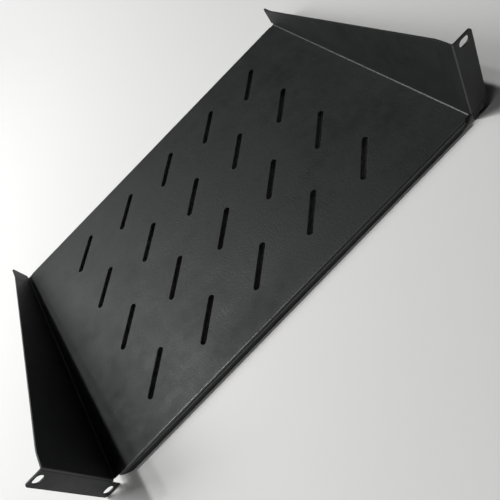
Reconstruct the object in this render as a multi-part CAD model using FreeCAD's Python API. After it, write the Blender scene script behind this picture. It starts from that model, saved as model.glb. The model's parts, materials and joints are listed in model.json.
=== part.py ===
import FreeCAD, Part
import math
import os

# Cantilever shelf for a 19-inch rack: one sheet of steel, cut flat and folded.
# The deck has rows of diagonal vent slots, and a lip turned down along its
# front and rear edges. A tapering flange is folded up along each side, and ends
# at the front in an ear, folded outwards, with slotted screw holes.
# Frame: +X to the right seen from the front, +Y to the rear, +Z up. The origin
# is the centre of the screw pattern, on the face that bears on the rack rails.

# Rack standard, in millimetres. The screws' insets are from the ears' outer
# edges, and from the limits of the stack of units that the panel stands for.
unit_height = 44.45
unit_count = 2
panel_clearance = 0.9
overall_width = 482.6
screw_inset_x = 8.75
screw_inset_z = 6.35
screw_slot_length = 10.3
screw_slot_width = 7.1

# Sheet and folds.
thickness = 1.5
inner_radius = 1.2
bend_relief = 0.4

# Ears, outside the flanges, and the rounding of all outer corners.
ear_width = 18.55
corner_radius = 3.0

# Deck and lips. The chamfers at the lips' ends leave room in the flat sheet
# for the ears, which reach down past the deck.
depth = 318.0
lip_drop = 8.5
lip_setback = 7.0
lip_chamfer_angle = 45.0

# Side flanges: level behind the ears, a straight taper, level again at the end.
front_land = 17.0
rear_land = 16.0
rear_flange_height = 23.4
knee_radius = 50.0
heel_radius = 20.0

# Vent slots, one in the middle of each square cell of the deck.
vent_pitch = 70.0
vent_length = 50.0
vent_width = 6.5
vent_angle = 45.0
vent_side_margin = 45.0
vent_end_margin = 18.0

# Levels and planes that follow from the sizes above.
outer_radius = inner_radius + thickness
stack_height = unit_count * unit_height
ear_height = stack_height - panel_clearance
screw_spacing_x = overall_width - 2 * screw_inset_x
screw_spacing_z = stack_height - 2 * screw_inset_z
top = ear_height / 2
bottom = -ear_height / 2
deck_top = bottom + lip_drop
deck_bottom = deck_top - thickness
fold_top = deck_top + inner_radius
rear_flange_top = deck_top + rear_flange_height
ear_edge = overall_width / 2
side_outer = ear_edge - ear_width
side_inner = side_outer - thickness
ear_root = side_outer + inner_radius
front_face = -thickness
rear_face = front_face + depth
front_bend = front_face + outer_radius

across = FreeCAD.Vector(1, 0, 0)
rearward = FreeCAD.Vector(0, 1, 0)
upward = FreeCAD.Vector(0, 0, 1)
origin = FreeCAD.Vector(0, 0, 0)
smallest_edge = 1e-6


def extrude(outline, first_way, second_way, along, start, end):
    # Solid from a closed outline, pushed along a third direction from start to
    # end. Each corner of the outline is its two coordinates, and the radius of
    # its arc where it isn't sharp.
    corners = []
    for first, second, *radius in outline:
        point = first_way * first + second_way * second + along * start
        corners.append((point, radius[0] if radius else 0))
    arcs = []
    for i, (corner, radius) in enumerate(corners):
        before = (corners[i - 1][0] - corner).normalize()
        after = (corners[(i + 1) % len(corners)][0] - corner).normalize()
        half_angle = before.getAngle(after) / 2
        reach = radius / math.tan(half_angle)
        gap = radius / math.sin(half_angle) - radius
        middle = corner + (before + after).normalize() * gap
        arcs.append((corner + before * reach, middle, corner + after * reach))
    edges = []
    for i, (arc_start, middle, arc_end) in enumerate(arcs):
        if arc_start.distanceToPoint(arc_end) > smallest_edge:
            edges.append(Part.Arc(arc_start, middle, arc_end).toShape())
        next_start = arcs[(i + 1) % len(arcs)][0]
        if arc_end.distanceToPoint(next_start) > smallest_edge:
            edges.append(Part.LineSegment(arc_end, next_start).toShape())
    return Part.Face(Part.Wire(edges)).extrude(along * (end - start))


def deck_and_folds():
    # The deck and its two side folds, up to where the flanges are straight.
    section = [
        (-side_outer, fold_top),
        (-side_outer, deck_bottom, outer_radius),
        (side_outer, deck_bottom, outer_radius),
        (side_outer, fold_top),
        (side_inner, fold_top),
        (side_inner, deck_top, inner_radius),
        (-side_inner, deck_top, inner_radius),
        (-side_inner, fold_top),
    ]
    margin = outer_radius + bend_relief
    return extrude(section, across, upward, rearward, front_face + margin, rear_face - margin)


def lip(face, inward):
    # A lip turned down from the deck, its outside on the given plane.
    deck_edge = face + inward * (outer_radius + bend_relief)
    back = face + inward * thickness
    section = [
        (deck_edge, deck_top),
        (face, deck_top, outer_radius),
        (face, bottom),
        (back, bottom),
        (back, deck_bottom, inner_radius),
        (deck_edge, deck_bottom),
    ]
    half_top = side_outer - lip_setback
    half_bottom = half_top - lip_drop / math.tan(math.radians(lip_chamfer_angle))
    front_view = [
        (-half_top, deck_top),
        (-half_bottom, bottom, corner_radius),
        (half_bottom, bottom, corner_radius),
        (half_top, deck_top),
    ]
    folded = extrude(section, rearward, upward, across, -half_top, half_top)
    return folded.common(extrude(front_view, across, upward, rearward, face, deck_edge))


def flange():
    # The right-hand flange's straight wall, from the ear's fold to the rear.
    side_view = [
        (front_bend, fold_top),
        (rear_face, fold_top),
        (rear_face, rear_flange_top, corner_radius),
        (rear_face - rear_land, rear_flange_top, heel_radius),
        (front_face + front_land, top, knee_radius),
        (front_bend, top),
    ]
    return extrude(side_view, rearward, upward, across, side_inner, side_outer)


def ear():
    # The right-hand ear with its fold. Its lower part hangs free of the deck.
    section = [
        (side_inner, front_bend),
        (side_inner, front_face, outer_radius),
        (ear_edge, front_face),
        (ear_edge, 0),
        (side_outer, 0, inner_radius),
        (side_outer, front_bend),
    ]
    front_view = [
        (side_inner, fold_top),
        (ear_root, fold_top),
        (ear_root, bottom),
        (ear_edge, bottom, corner_radius),
        (ear_edge, top, corner_radius),
        (side_inner, top),
    ]
    folded = extrude(section, across, rearward, upward, bottom, top)
    return folded.common(extrude(front_view, across, upward, rearward, front_face, front_bend))


def slot(length, width):
    # Cutter for a slot with round ends, centred on the origin, long way across.
    half_length = length / 2
    radius = width / 2
    outline = [
        (-half_length, -radius, radius),
        (half_length, -radius, radius),
        (half_length, radius, radius),
        (-half_length, radius, radius),
    ]
    return extrude(outline, across, rearward, upward, -thickness, thickness)


def vent_slots():
    columns = int((2 * side_outer - 2 * vent_side_margin) // vent_pitch)
    rows = int((depth - 2 * vent_end_margin) // vent_pitch)
    middle = (front_face + rear_face) / 2
    cutters = []
    for column in range(columns):
        for row in range(rows):
            x = (column - (columns - 1) / 2) * vent_pitch
            y = middle + (row - (rows - 1) / 2) * vent_pitch
            cutter = slot(vent_length, vent_width)
            cutter.rotate(origin, upward, vent_angle)
            cutter.translate(FreeCAD.Vector(x, y, deck_top))
            cutters.append(cutter)
    return cutters


def screw_slots():
    cutters = []
    for x in (-screw_spacing_x / 2, screw_spacing_x / 2):
        for z in (-screw_spacing_z / 2, screw_spacing_z / 2):
            cutter = slot(screw_slot_length, screw_slot_width)
            cutter.rotate(origin, across, 90)
            cutter.translate(FreeCAD.Vector(x, 0, z))
            cutters.append(cutter)
    return cutters


right_side = [flange(), ear()]
left_side = [wall.mirror(origin, across) for wall in right_side]
lips = [lip(front_face, 1), lip(rear_face, -1)]
shelf = deck_and_folds().fuse(right_side + left_side + lips).removeSplitter()
shelf = shelf.cut(vent_slots() + screw_slots())

os.makedirs("parts", exist_ok=True)
shelf.exportStep("parts/shelf.step")
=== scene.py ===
import json
import math

import bpy
from mathutils import Matrix, Vector


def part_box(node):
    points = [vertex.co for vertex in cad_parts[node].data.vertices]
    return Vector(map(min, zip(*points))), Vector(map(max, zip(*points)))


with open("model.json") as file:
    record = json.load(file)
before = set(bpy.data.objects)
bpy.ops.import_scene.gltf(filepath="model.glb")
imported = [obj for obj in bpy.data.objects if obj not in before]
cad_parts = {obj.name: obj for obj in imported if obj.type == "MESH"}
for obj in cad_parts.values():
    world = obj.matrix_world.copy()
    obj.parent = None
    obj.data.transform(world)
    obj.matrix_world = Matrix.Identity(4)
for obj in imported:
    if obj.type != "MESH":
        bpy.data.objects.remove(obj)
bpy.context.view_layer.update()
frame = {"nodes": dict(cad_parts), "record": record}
print("frame loaded")

# Planes that everything else is placed from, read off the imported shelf.
shelf = frame["nodes"]["shelf"]
lowest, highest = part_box("shelf")
deckSpot = next(m for m in frame["record"]["mounts"] if m["name"] == "deck_surface")
deckHeight = deckSpot["pos_m"][2]
frontFace = lowest.y


class Wire:
    # One socket of a material. Sums, products and comparisons on it add their
    # own Math nodes. A comparison gives 1 or 0, and | takes the larger of two.
    def __init__(self, graph, socket):
        self.graph = graph
        self.socket = socket

    def calculate(self, operation, *values):
        return self.graph.add("ShaderNodeMath", {"operation": operation}, dict(enumerate(values)))

    def __add__(self, other):
        return self.calculate("ADD", self, other)

    __radd__ = __add__

    def __sub__(self, other):
        return self.calculate("SUBTRACT", self, other)

    def __rsub__(self, other):
        return self.calculate("SUBTRACT", other, self)

    def __mul__(self, other):
        return self.calculate("MULTIPLY", self, other)

    __rmul__ = __mul__

    def __lt__(self, other):
        return self.calculate("LESS_THAN", self, other)

    def __gt__(self, other):
        return self.calculate("GREATER_THAN", self, other)

    def __or__(self, other):
        return self.calculate("MAXIMUM", self, other)

    def __abs__(self):
        return self.calculate("ABSOLUTE", self)

    def part(self, axis):
        return self.graph.add("ShaderNodeSeparateXYZ", {}, {0: self}, axis)


class Graph:
    # The nodes of one material or world, emptied first.
    def __init__(self, owner):
        owner.use_nodes = True
        self.tree = owner.node_tree
        self.tree.nodes.clear()

    def add(self, kind, settings, sockets, output=0):
        node = self.tree.nodes.new(kind)
        for name, value in settings.items():
            setattr(node, name, value)
        for name, value in sockets.items():
            if isinstance(value, Wire):
                self.tree.links.new(value.socket, node.inputs[name])
            else:
                node.inputs[name].default_value = value
        return Wire(self, node.outputs[output]) if node.outputs else None

    def blend(self, share, first, second):
        # Of two colours: a Mix node takes these at sockets 6 and 7, and gives one at output 2.
        return self.add("ShaderNodeMix", {"data_type": "RGBA"}, {0: share, 6: first, 7: second}, 2)

    def ray(self, kind):
        return self.add("ShaderNodeLightPath", {}, {}, kind)


# Satin black powder coat. Sizes, heights and places are in metres.
coat = {
    "colour": (0.0062, 0.0064, 0.0063, 1),
    "bloom": (0.0092, 0.0095, 0.0096, 1),    # the same paint where it is a little cloudy
    "bloomShare": 0.5,                       # how much of it is, on the whole
    "shineColour": (0.965, 1.0, 0.995, 1),   # its shine is a little cold
    "roughness": 0.60,
    # How the gloss drifts over the sheet: the size of a blotch, how many
    # finer layers are in it, and how much rougher or smoother it is.
    "cloud": {"size": 0.060, "layers": 3, "depth": 0.15},
    "patch": {"size": 0.012, "layers": 2, "depth": 0.09},
    "wipe": {"size": 0.03, "layers": 2, "depth": 0.06, "stretch": (10, 1, 1)},   # wiped streaks
    # Relief in the same way, and how far it stands out or in.
    "ripple": {"size": 0.12, "layers": 0, "height": 0.00015},    # a folded sheet is not quite flat
    "peel": {"size": 0.0024, "layers": 1, "height": 0.0000675},  # the powder's orange peel
    "pebble": {"size": 0.0009, "layers": 1, "height": 0.00009},  # and its finer grain
    "edge": {"radius": 0.0004, "samples": 6},   # powder rounds every cut edge
    "folds": {                         # where the sheet turns, the paint is
        "colour": (0.0240, 0.0245, 0.0245, 1),   # paler (part rubbed paint, part painted highlight),
        "polish": 0.15,                # less rough by this,
        "gloss": 0.72,                 # with some sharper gloss over it,
        "glossRoughness": 0.42,
        "smoothing": 0.97,             # and without this share of its grain
        "onset": 40,                   # how fast all that starts as the sheet turns
        "ridge": 0.38,                 # how far an ear's fold turns first: only its ridge is marked
        "sides": (0.0413, 0.0153),     # the sides' folds lie between these, in from the ears' ends
        "top": 0.005,                  # over the deck: higher up only the ears' folds are left
        "slack": 0.01,                 # a normal's part is none when its square is under this
    },
    "smudges": {                       # dull marks on the deck. The turn is in degrees
        "slotEnd": {"middle": (-0.028, 0.0225), "reach": (0.007, 0.022),
                    "turn": -45, "depth": 0.07},
        "ring": {"middle": (0.030, 0.0385), "reach": (0.014, 0.014),
                 "turn": 0, "depth": 0.04},
    },
    "smudgeHeight": 0.01,              # how far above and below the deck they reach
}


def foldMask(graph, place):
    # Flat faces all point along an axis, so the sum of the fourth powers of
    # the normal's parts is 1 there and falls to a half in the middle of a fold.
    # Slots and cut edges have slanting faces too, so a fold also has to be
    # where the folds are: front and rear, along the sides, or at the ears.
    folds = coat["folds"]
    facing = graph.add("ShaderNodeTexCoord", {}, {}, "Normal")
    squares = graph.add("ShaderNodeVectorMath", {"operation": "MULTIPLY"}, {0: facing, 1: facing})
    flatness = graph.add("ShaderNodeVectorMath", {"operation": "DOT_PRODUCT"},
                         {0: squares, 1: squares}, "Value")
    noneAcross = squares.part("X") < folds["slack"]
    upright = squares.part("Z") < folds["slack"]
    inner, outer = (highest.x - inwards for inwards in folds["sides"])
    across = abs(place.part("X"))
    atSide = across > inner
    onShelf = across < outer
    low = place.part("Z") < deckHeight + folds["top"]
    atDeck = low * (atSide | noneAcross)
    atEar = upright * atSide
    turned = 1 - flatness - upright * folds["ridge"]
    turning = graph.add("ShaderNodeClamp", {}, {"Value": turned * folds["onset"]})
    return turning * onShelf * (atDeck | atEar)


def dullness(graph, place, smudge):
    # From the smudge's depth in its middle to nothing at its reach
    around = graph.add("ShaderNodeMapping", {"vector_type": "TEXTURE"}, {
        "Vector": place,
        "Location": (*smudge["middle"], deckHeight),
        "Rotation": (0, 0, math.radians(smudge["turn"])),
        "Scale": (*smudge["reach"], coat["smudgeHeight"]),
    })
    return smudge["depth"] * graph.add(
        "ShaderNodeTexGradient", {"gradient_type": "SPHERICAL"}, {"Vector": around}, "Fac")


def powderCoat(name):
    material = bpy.data.materials.new(name)
    graph = Graph(material)
    place = graph.add("ShaderNodeTexCoord", {}, {}, "Object")
    folds = coat["folds"]
    # Along the folds the paint is paler and glossier: partly rubbed paint, partly a painted
    # highlight.
    foldWearAndHighlight = foldMask(graph, place)

    def swing(layer, vector=place):
        # Noise from -1 to 1
        return 2 * graph.add("ShaderNodeTexNoise", {}, {
            "Vector": vector, "Scale": 1 / layer["size"], "Detail": layer["layers"]}) - 1

    def relief(layer, shape, below):
        return graph.add("ShaderNodeBump", {}, {
            "Height": shape, "Distance": layer["height"], "Normal": below})

    alongWipes = graph.add("ShaderNodeVectorMath", {"operation": "DIVIDE"},
                           {0: place, 1: coat["wipe"]["stretch"]})
    cloud = swing(coat["cloud"])
    patches = swing(coat["patch"])
    wipes = swing(coat["wipe"], alongWipes)
    drift = (cloud * coat["cloud"]["depth"] + patches * coat["patch"]["depth"]
             + wipes * coat["wipe"]["depth"])
    roughness = coat["roughness"] + drift - foldWearAndHighlight * folds["polish"]
    for smudge in coat["smudges"].values():
        roughness = roughness + dullness(graph, place, smudge)
    tone = graph.blend(coat["bloomShare"] + cloud + patches, coat["colour"], coat["bloom"])

    edges = graph.add("ShaderNodeBevel", {"samples": coat["edge"]["samples"]},
                      {"Radius": coat["edge"]["radius"]})
    grain = 1 - foldWearAndHighlight * folds["smoothing"]
    rippled = relief(coat["ripple"], swing(coat["ripple"]), edges)
    peeled = relief(coat["peel"], swing(coat["peel"]) * grain, rippled)
    pebbled = relief(coat["pebble"], swing(coat["pebble"]) * grain, peeled)

    paint = graph.add("ShaderNodeBsdfPrincipled", {}, {
        # Paler along the folds: a painted highlight there, and partly rubbed paint.
        "Base Color": graph.blend(foldWearAndHighlight, tone, folds["colour"]),
        "Roughness": roughness,
        "Specular Tint": coat["shineColour"],
        "Coat Weight": foldWearAndHighlight * folds["gloss"],
        "Coat Roughness": folds["glossRoughness"],
        "Normal": pebbled,
    })
    graph.add("ShaderNodeOutputMaterial", {}, {"Surface": paint})
    return material


shelf.material_slots[0].material = powderCoat("powderCoat")
print("powder coat done")

# Floor and surroundings, in metres. The backdrop's edge is in sines of its elevation.
studio = {
    "floorSize": 6.0,
    "floorColour": (0.80, 0.80, 0.79, 1),
    "floorFade": (0.30, 1.4),       # how far out it starts and ends turning into the backdrop
    "backdrop": (0.93, 0.93, 0.93, 1),
    "backdropEdge": (0.00, 0.10),   # how high that starts and ends turning into the ceiling
    "ambient": 0.015,               # the ceiling's strength
}


def pale(name):
    # Matt near the shelf, where its shadow falls, and the backdrop's own tone
    # further off for the camera and reflections, so that no horizon shows.
    material = bpy.data.materials.new(name)
    graph = Graph(material)
    matt = graph.add("ShaderNodeBsdfDiffuse", {}, {"Color": studio["floorColour"]})
    sweep = graph.add("ShaderNodeEmission", {}, {"Color": studio["backdrop"]})
    place = graph.add("ShaderNodeTexCoord", {}, {}, "Object")
    away = graph.add("ShaderNodeVectorMath", {"operation": "DISTANCE"},
                     {0: place, 1: (lowest + highest) / 2}, "Value")
    near, far = studio["floorFade"]
    fade = graph.add("ShaderNodeMapRange", {"interpolation_type": "SMOOTHSTEP"}, {
        "Value": away, "From Min": near, "From Max": far})
    seen = (graph.ray("Is Camera Ray") + graph.ray("Is Glossy Ray")
            + graph.ray("Is Transmission Ray"))
    surface = graph.add("ShaderNodeMixShader", {}, {0: fade * seen, 1: matt, 2: sweep})
    graph.add("ShaderNodeOutputMaterial", {}, {"Surface": surface})
    return material


def makeFloor():
    # A square at the height of the shelf's lowest point
    half = studio["floorSize"] / 2
    corners = [(-half, -half, lowest.z), (half, -half, lowest.z),
               (half, half, lowest.z), (-half, half, lowest.z)]
    mesh = bpy.data.meshes.new("floor")
    mesh.from_pydata(corners, [], [(0, 1, 2, 3)])
    mesh.materials.append(pale("paleFloor"))
    floor = bpy.data.objects.new("floor", mesh)
    bpy.context.collection.objects.link(floor)


def makeWorld():
    # Pale all round for the camera. Reflections see the pale backdrop near the
    # horizon and a dim ceiling over it.
    world = bpy.data.worlds.new("studio")
    bpy.context.scene.world = world
    graph = Graph(world)
    rise = graph.add("ShaderNodeTexCoord", {}, {}, "Generated").part("Z")
    low, high = studio["backdropEdge"]
    backdrop = graph.add("ShaderNodeMapRange", {"interpolation_type": "SMOOTHSTEP"}, {
        "Value": rise, "From Min": low, "From Max": high, "To Min": 1, "To Max": 0})
    reflected = graph.ray("Is Glossy Ray") + graph.ray("Is Transmission Ray")
    bright = graph.ray("Is Camera Ray") + reflected * backdrop
    strength = studio["ambient"] + bright * (1 - studio["ambient"])
    sky = graph.add("ShaderNodeBackground", {}, {
        "Color": studio["backdrop"], "Strength": strength})
    graph.add("ShaderNodeOutputWorld", {}, {"Surface": sky})


makeFloor()
makeWorld()
print("floor and surroundings done")


def towards(azimuth, elevation):
    # A direction of length 1 from two angles in degrees. Azimuth 0 is straight
    # behind the shelf and 90 is to its right.
    azimuth, elevation = math.radians(azimuth), math.radians(elevation)
    flat = math.cos(elevation)
    return Vector((flat * math.sin(azimuth), flat * math.cos(azimuth), math.sin(elevation)))


# Softboxes: where each stands as seen from the deck's middle, how far off and
# how big in metres, and how bright in watts. The three small ones throw the
# crisp, stepped edge of the left flange's shadow on the deck. The others are soft.
softboxes = {
    "keyBox": {"azimuth": -44.5, "elevation": 65.1, "distance": 2.0, "size": 0.10, "power": 13.8},
    "secondBox": {"azimuth": -55.1, "elevation": 58.4, "distance": 2.0, "size": 0.10, "power": 5.3},
    "backBox": {"azimuth": -23.7, "elevation": 49.0, "distance": 2.0, "size": 0.10, "power": 2.1},
    "sideBox": {"azimuth": -60, "elevation": 40, "distance": 1.5, "size": 0.7, "power": 13.0},
    "frontBox": {"azimuth": -120, "elevation": 40, "distance": 1.5, "size": 0.7, "power": 3.0},
    "rearBox": {"azimuth": -20, "elevation": 32, "distance": 1.5, "size": 0.5, "power": 1.3},
}


def makeSoftbox(name, box):
    middle = Vector((0, (lowest.y + highest.y) / 2, deckHeight))
    toBox = towards(box["azimuth"], box["elevation"])
    lamp = bpy.data.lights.new(name, "AREA")
    lamp.energy = box["power"]
    lamp.shape = "RECTANGLE"
    lamp.size = lamp.size_y = box["size"]
    light = bpy.data.objects.new(name, lamp)
    light.location = middle + toBox * box["distance"]
    light.rotation_euler = toBox.to_track_quat("Z", "Y").to_euler()
    bpy.context.collection.objects.link(light)


for boxName, box in softboxes.items():
    makeSoftbox(boxName, box)
print("lights done")

# Camera: above and in front of the shelf, looking down past its front edge,
# rolled so that the front edge runs up to the right. Angles are in degrees.
shot = {
    "aim": (0.0128, 0.0493),      # the point looked at: across, and behind the front face
    "distance": 0.4858,           # from that point, in metres
    "azimuth": -1.37,             # of the line of sight
    "elevation": 49.70,           # of the camera over that point
    "roll": -46.84,
    "lens": 37.7,                 # in millimetres
    "shift": (-0.0434, 0.0170),   # of the lens, as shares of the frame
}


def makeCamera():
    sight = towards(shot["azimuth"], -shot["elevation"])
    target = Vector((shot["aim"][0], frontFace + shot["aim"][1], deckHeight))
    turned = sight.to_track_quat("-Z", "Y").to_matrix().to_4x4()
    rolled = turned @ Matrix.Rotation(math.radians(shot["roll"]), 4, "Z")
    lens = bpy.data.cameras.new("camera")
    lens.lens = shot["lens"]
    lens.shift_x, lens.shift_y = shot["shift"]
    camera = bpy.data.objects.new("camera", lens)
    camera.matrix_world = Matrix.Translation(target - sight * shot["distance"]) @ rolled
    bpy.context.collection.objects.link(camera)
    bpy.context.scene.camera = camera


makeCamera()
bpy.context.scene.view_settings.view_transform = "Standard"
print("camera done")
